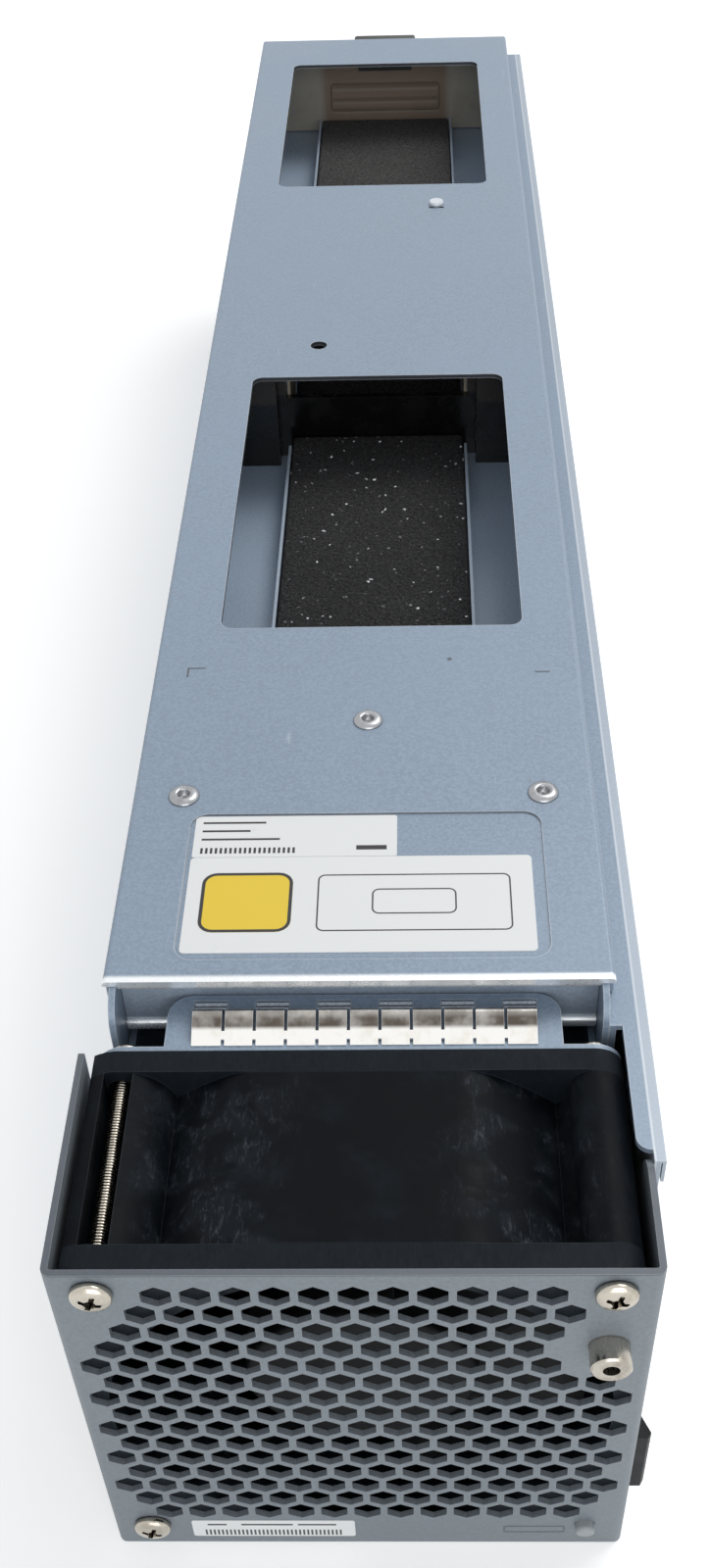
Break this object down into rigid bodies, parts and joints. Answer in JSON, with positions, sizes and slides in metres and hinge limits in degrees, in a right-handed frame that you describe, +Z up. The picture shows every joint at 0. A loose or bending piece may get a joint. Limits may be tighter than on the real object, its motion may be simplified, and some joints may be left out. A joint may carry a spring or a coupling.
{
  "type": "storage fan module",
  "caption": "Long folded-steel fan module with a honeycomb front, an axial fan, a windowed cover over foam pads, a side channel and a sprung release latch.",
  "frame": {"origin": "on the underside, below the middle of the grille and at half the module's depth", "axes": "+X to the right seen from the front, +Y from the front to the rear, +Z up"},
  "size_m": [0.0881, 0.4729, 0.0891],
  "materials": {
    "sheet_steel": "fine mottled satin coating",
    "bezel_steel": "fine mottled satin coating",
    "nickel": "bright nickel plate",
    "bright_steel": "plain steel",
    "fan_plastic": "scuffed matte black",
    "rotor_plastic": "matte black",
    "spring_copper": "bright thin strip",
    "magnet": "dark ferrite",
    "copper_wire": "enamelled wire",
    "board": "green solder mask",
    "lens": "clear light pipe",
    "foam": "open-cell charcoal foam",
    "liner_brown": "brown insulating sheet",
    "baffle_black": "glossy black sheet",
    "connector_black": "moulded black",
    "gold": "gold flash"
  },
  "bodies": {
    "module": {"front_bezel": "bezel_steel", "front_standoff": "nickel", "fan_screws": "nickel", "fan_housing": "fan_plastic", "bearing_front": "bright_steel", "bearing_rear": "bright_steel", "stator_core": "bright_steel", "stator_coils": "copper_wire", "driver_board": "board", "fan_bracket": "sheet_steel", "clinch_nuts": "nickel", "contact_strip": "spring_copper", "status_lens": "lens", "led_board": "board", "latch_bracket": "bright_steel", "latch_pin": "bright_steel", "latch_spring": "bright_steel", "chassis_base": "sheet_steel", "top_cover": "sheet_steel", "cross_member": "sheet_steel", "side_channel": "sheet_steel", "inner_shelf": "sheet_steel", "shelf_rivets": "bright_steel", "pad_tray_front": "sheet_steel", "foam_pad_front": "foam", "pad_tray_rear": "sheet_steel", "foam_pad_rear": "foam", "centre_baffle": "baffle_black", "shelf_hanger": "sheet_steel", "cover_rivets": "bright_steel", "foot_rivets": "bright_steel", "rear_plate": "sheet_steel", "rear_liner": "liner_brown", "rear_connector": "connector_black", "connector_contacts": "gold"},
    "rotor": {"impeller": "rotor_plastic", "rotor_yoke": "bright_steel", "rotor_magnet": "magnet", "fan_shaft": "bright_steel", "shaft_clip": "bright_steel"},
    "latch": {"release_latch": "fan_plastic"}
  },
  "joints": [
    {"name": "fan_spin", "type": "hinge", "parent": "module", "child": "rotor", "pos_m": [0, -0.208, 0.0426], "axis": [0, 1, 0], "continuous": true},
    {"name": "latch_swing", "type": "hinge", "parent": "module", "child": "latch", "pos_m": [0.03955, -0.1965, 0.0159], "axis": [0, 0, -1], "range_deg": [0, 7.5], "stiffness_Nm_per_rad": 0.3, "springref_deg": -5, "deforming": ["latch_spring"]}
  ]
}
